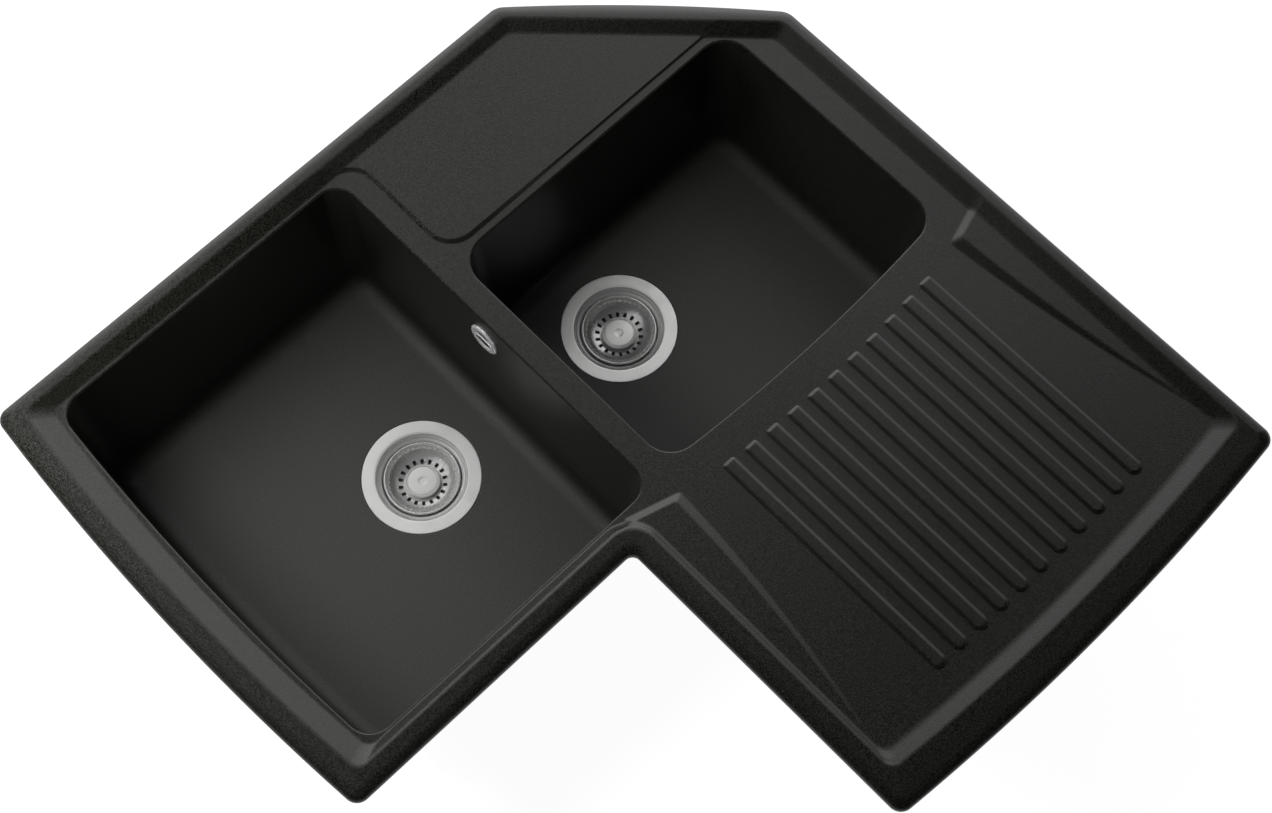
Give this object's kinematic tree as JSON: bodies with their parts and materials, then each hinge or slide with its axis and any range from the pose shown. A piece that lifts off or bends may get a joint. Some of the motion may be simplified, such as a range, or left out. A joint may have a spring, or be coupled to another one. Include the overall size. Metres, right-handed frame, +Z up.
{
  "type": "corner kitchen sink",
  "caption": "L-shaped corner kitchen sink in dark composite: two bowls with lift-out basket strainers, overflow, tap deck, ribbed drainer and swinging rim clips.",
  "frame": {"origin": "on the rim's seat, which rests on the worktop, in the middle of the cut-off back corner, 100 mm along both walls from the corner where the two back edges would meet", "axes": "+Z up; the right arm with the drainer runs along +X; the left arm with the main bowl runs along -Y"},
  "size_m": [0.8, 0.8, 0.285],
  "materials": {
    "granite_composite": "near-black, fine matt grain with small pale flecks",
    "strainer_steel": "satin stainless steel",
    "overflow_chrome": "polished",
    "rubber": "matt",
    "waste_plastic": "satin moulded polypropylene",
    "brass": "bare",
    "zinc_steel": "bright zinc plating"
  },
  "bodies": {
    "sink": {"sink_body": "granite_composite", "main_strainer_flange": "strainer_steel", "main_flange_seal": "rubber", "main_clamp_screw": "strainer_steel", "main_waste_gasket": "rubber", "main_waste_body": "waste_plastic", "second_strainer_flange": "strainer_steel", "second_flange_seal": "rubber", "second_clamp_screw": "strainer_steel", "second_waste_gasket": "rubber", "second_waste_body": "waste_plastic", "overflow_rosette": "overflow_chrome", "overflow_seal": "rubber", "overflow_housing": "waste_plastic", "overflow_pipe": "waste_plastic", "overflow_pipe_seal": "rubber", "overflow_pipe_nut": "waste_plastic", "clip_inserts": "brass", "clip_screws": "zinc_steel"},
    "main_strainer": {"main_basket": "strainer_steel", "main_basket_cap": "strainer_steel", "main_basket_stem": "strainer_steel", "main_plug_seal": "rubber", "main_seal_nut": "strainer_steel"},
    "second_strainer": {"second_basket": "strainer_steel", "second_basket_cap": "strainer_steel", "second_basket_stem": "strainer_steel", "second_plug_seal": "rubber", "second_seal_nut": "strainer_steel"},
    "clip_arm_1": {"rim_clip_1": "zinc_steel"},
    "clip_arm_2": {"rim_clip_2": "zinc_steel"},
    "clip_arm_3": {"rim_clip_3": "zinc_steel"},
    "clip_arm_4": {"rim_clip_4": "zinc_steel"},
    "clip_arm_5": {"rim_clip_5": "zinc_steel"},
    "clip_arm_6": {"rim_clip_6": "zinc_steel"},
    "clip_arm_7": {"rim_clip_7": "zinc_steel"},
    "clip_arm_8": {"rim_clip_8": "zinc_steel"},
    "clip_arm_9": {"rim_clip_9": "zinc_steel"},
    "clip_arm_10": {"rim_clip_10": "zinc_steel"}
  },
  "joints": [
    {"name": "main_basket_lift", "type": "slide", "parent": "sink", "child": "main_strainer", "axis": [0, 0, 1], "range_m": [0, 0.25]},
    {"name": "second_basket_lift", "type": "slide", "parent": "sink", "child": "second_strainer", "axis": [0, 0, 1], "range_m": [0, 0.25]},
    {"name": "clip_swing_1", "type": "hinge", "parent": "sink", "child": "clip_arm_1", "pos_m": [0.23, 0.081, -0.051], "axis": [0, 0, 1], "range_deg": [0, 90]},
    {"name": "clip_swing_2", "type": "hinge", "parent": "sink", "child": "clip_arm_2", "pos_m": [0.54, 0.081, -0.051], "axis": [0, 0, 1], "range_deg": [0, 90]},
    {"name": "clip_swing_3", "type": "hinge", "parent": "sink", "child": "clip_arm_3", "pos_m": [0.67819, -0.02, -0.051], "axis": [0, 0, 1], "range_deg": [0, 90]},
    {"name": "clip_swing_4", "type": "hinge", "parent": "sink", "child": "clip_arm_4", "pos_m": [0.67819, -0.255, -0.051], "axis": [0, 0, 1], "range_deg": [0, 90]},
    {"name": "clip_swing_5", "type": "hinge", "parent": "sink", "child": "clip_arm_5", "pos_m": [0.54, -0.356, -0.051], "axis": [0, 0, 1], "range_deg": [0, 90]},
    {"name": "clip_swing_6", "type": "hinge", "parent": "sink", "child": "clip_arm_6", "pos_m": [0.356, -0.52, -0.051], "axis": [0, 0, 1], "range_deg": [0, 90]},
    {"name": "clip_swing_7", "type": "hinge", "parent": "sink", "child": "clip_arm_7", "pos_m": [0.255, -0.67819, -0.051], "axis": [0, 0, 1], "range_deg": [0, 90]},
    {"name": "clip_swing_8", "type": "hinge", "parent": "sink", "child": "clip_arm_8", "pos_m": [0.02, -0.67819, -0.051], "axis": [0, 0, 1], "range_deg": [0, 90]},
    {"name": "clip_swing_9", "type": "hinge", "parent": "sink", "child": "clip_arm_9", "pos_m": [-0.081, -0.52, -0.051], "axis": [0, 0, 1], "range_deg": [0, 90]},
    {"name": "clip_swing_10", "type": "hinge", "parent": "sink", "child": "clip_arm_10", "pos_m": [-0.081, -0.2, -0.051], "axis": [0, 0, 1], "range_deg": [0, 90]}
  ]
}
